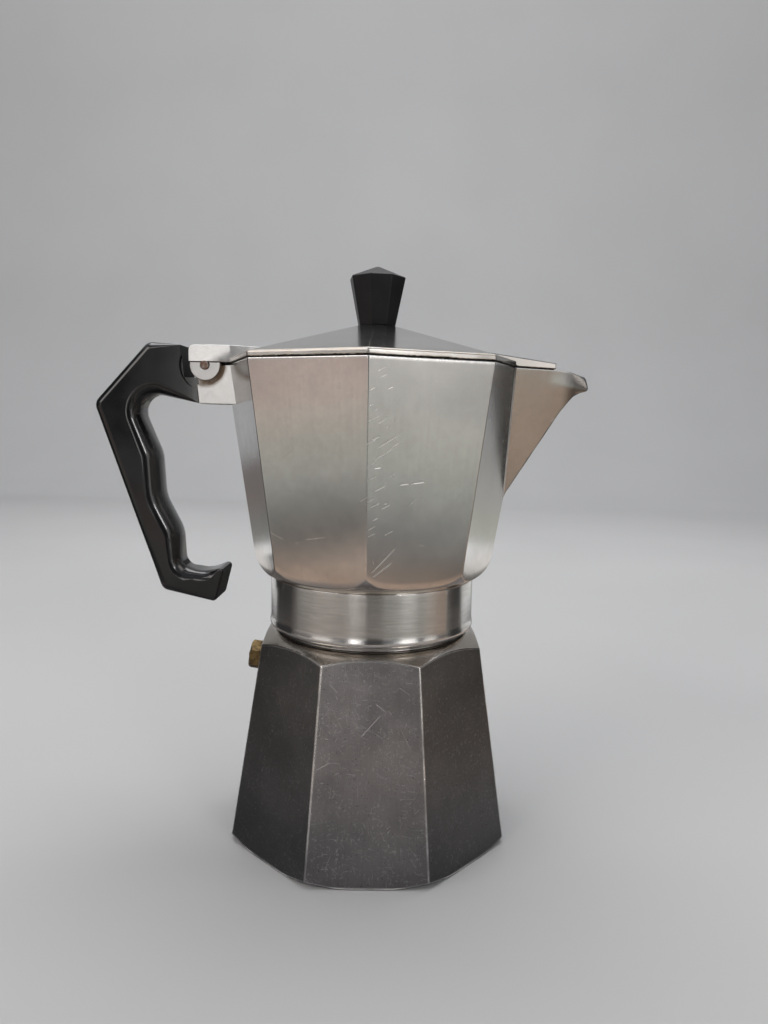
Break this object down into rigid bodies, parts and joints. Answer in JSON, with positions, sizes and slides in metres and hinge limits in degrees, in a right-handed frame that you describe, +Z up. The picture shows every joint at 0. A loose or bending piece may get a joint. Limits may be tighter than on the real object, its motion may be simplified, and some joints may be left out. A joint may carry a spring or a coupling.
{
  "type": "moka pot",
  "caption": "Octagonal stovetop coffee maker with a screw-on collector, hinged lid, funnel, filter, safety valve, black handle and knob.",
  "frame": {"origin": "centre of the base on the floor", "axes": "+Z up along the pot's axis, +X towards the spout, -X towards the handle"},
  "size_m": [0.188, 0.116, 0.2168],
  "materials": {
    "cast_dull": "dull, pitted, worn",
    "cast_satin": "satin brushed",
    "polished": "polished",
    "sheet": "satin",
    "brass": "dull",
    "steel": "satin",
    "seal": "matt",
    "grip": "gloss",
    "knob": "semi-matt"
  },
  "bodies": {
    "boiler": {"boiler": "cast_dull", "valve_body": "brass", "valve_washer": "steel", "valve_retainer": "brass", "valve_spring": "steel"},
    "valve_plunger": {"valve_plunger": "brass"},
    "funnel": {"funnel_basket": "sheet", "funnel_tube": "sheet", "funnel_sieve": "sheet"},
    "gasket": {"gasket": "seal"},
    "filter_plate": {"filter_plate": "sheet"},
    "collector": {"collector": "cast_satin", "coffee_column": "cast_satin", "handle": "grip", "hinge_pin": "steel"},
    "lid": {"lid": "polished", "knob": "knob", "knob_insert": "brass", "knob_washer": "steel", "knob_screw": "steel"}
  },
  "joints": [
    {"name": "funnel_lift", "type": "slide", "parent": "boiler", "child": "funnel", "axis": [0, 0, 1], "range_m": [0, 0.095]},
    {"name": "collector_lift_off", "type": "slide", "parent": "funnel", "child": "gasket", "axis": [0, 0, 1], "range_m": [0, 0.07]},
    {"name": "thread_rise", "type": "slide", "parent": "gasket", "child": "filter_plate", "axis": [0, 0, 1], "range_m": [0, 0.006]},
    {"name": "collector_unscrew", "type": "hinge", "parent": "filter_plate", "child": "collector", "pos_m": [0, 0, 0], "axis": [0, 0, 1], "range_deg": [0, 540]},
    {"name": "lid_open", "type": "hinge", "parent": "collector", "child": "lid", "pos_m": [-0.0635, 0, 0.1789], "axis": [0, -1, 0], "range_deg": [0, 100]},
    {"name": "valve_lift", "type": "slide", "parent": "boiler", "child": "valve_plunger", "axis": [-0.9887, -0.0432, 0.1435], "range_m": [0, 0.0012], "stiffness_N_per_m": 1500, "springref_m": -0.0015, "deforming": ["valve_spring"]}
  ],
  "couplings": [
    {"joint": "thread_rise", "follows": "collector_unscrew", "m_per_rad": 0.0006366}
  ]
}
